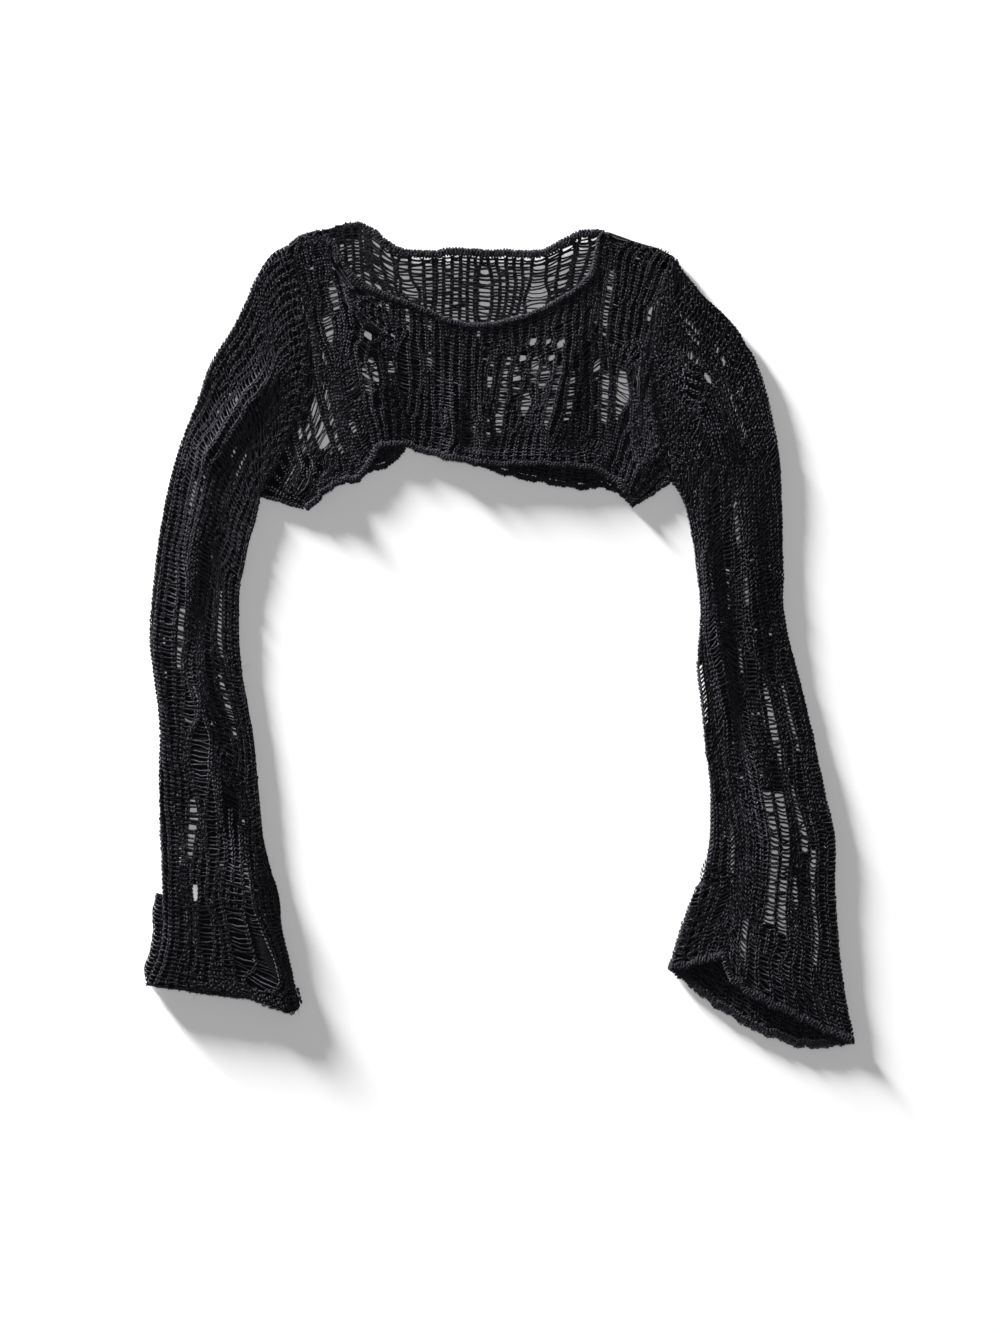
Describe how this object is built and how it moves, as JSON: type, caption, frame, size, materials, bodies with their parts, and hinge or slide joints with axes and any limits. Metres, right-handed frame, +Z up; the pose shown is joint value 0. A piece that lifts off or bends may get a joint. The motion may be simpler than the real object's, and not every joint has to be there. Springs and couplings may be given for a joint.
{
  "type": "knitted shrug",
  "caption": "Cropped open-knit shrug with long flared sleeves, laid flat with its front up: body panels, two tube sleeves and edgings worked round neck, hem and cuffs.",
  "frame": {"origin": "on the surface that the garment lies on, under the middle of its outline", "axes": "+Y from the hem towards the neck, +X to the right of the laid garment, +Z up out of its front"},
  "size_m": [0.7071, 0.824, 0.0128],
  "materials": {
    "knit": "matte, brushed, slightly hairy near-black yarn",
    "edging": "the same yarn worked densely, matte"
  },
  "bodies": {
    "root": {"back_panel": "knit", "front_panel": "knit", "sleeve_left": "knit", "sleeve_right": "knit", "neck_edge_back": "edging", "neck_edge_front": "edging", "hem_edge_back": "edging", "hem_edge_front": "edging", "cuff_edge_right": "edging", "cuff_turn_left": "knit", "cuff_edge_left": "edging"}
  },
  "joints": []
}
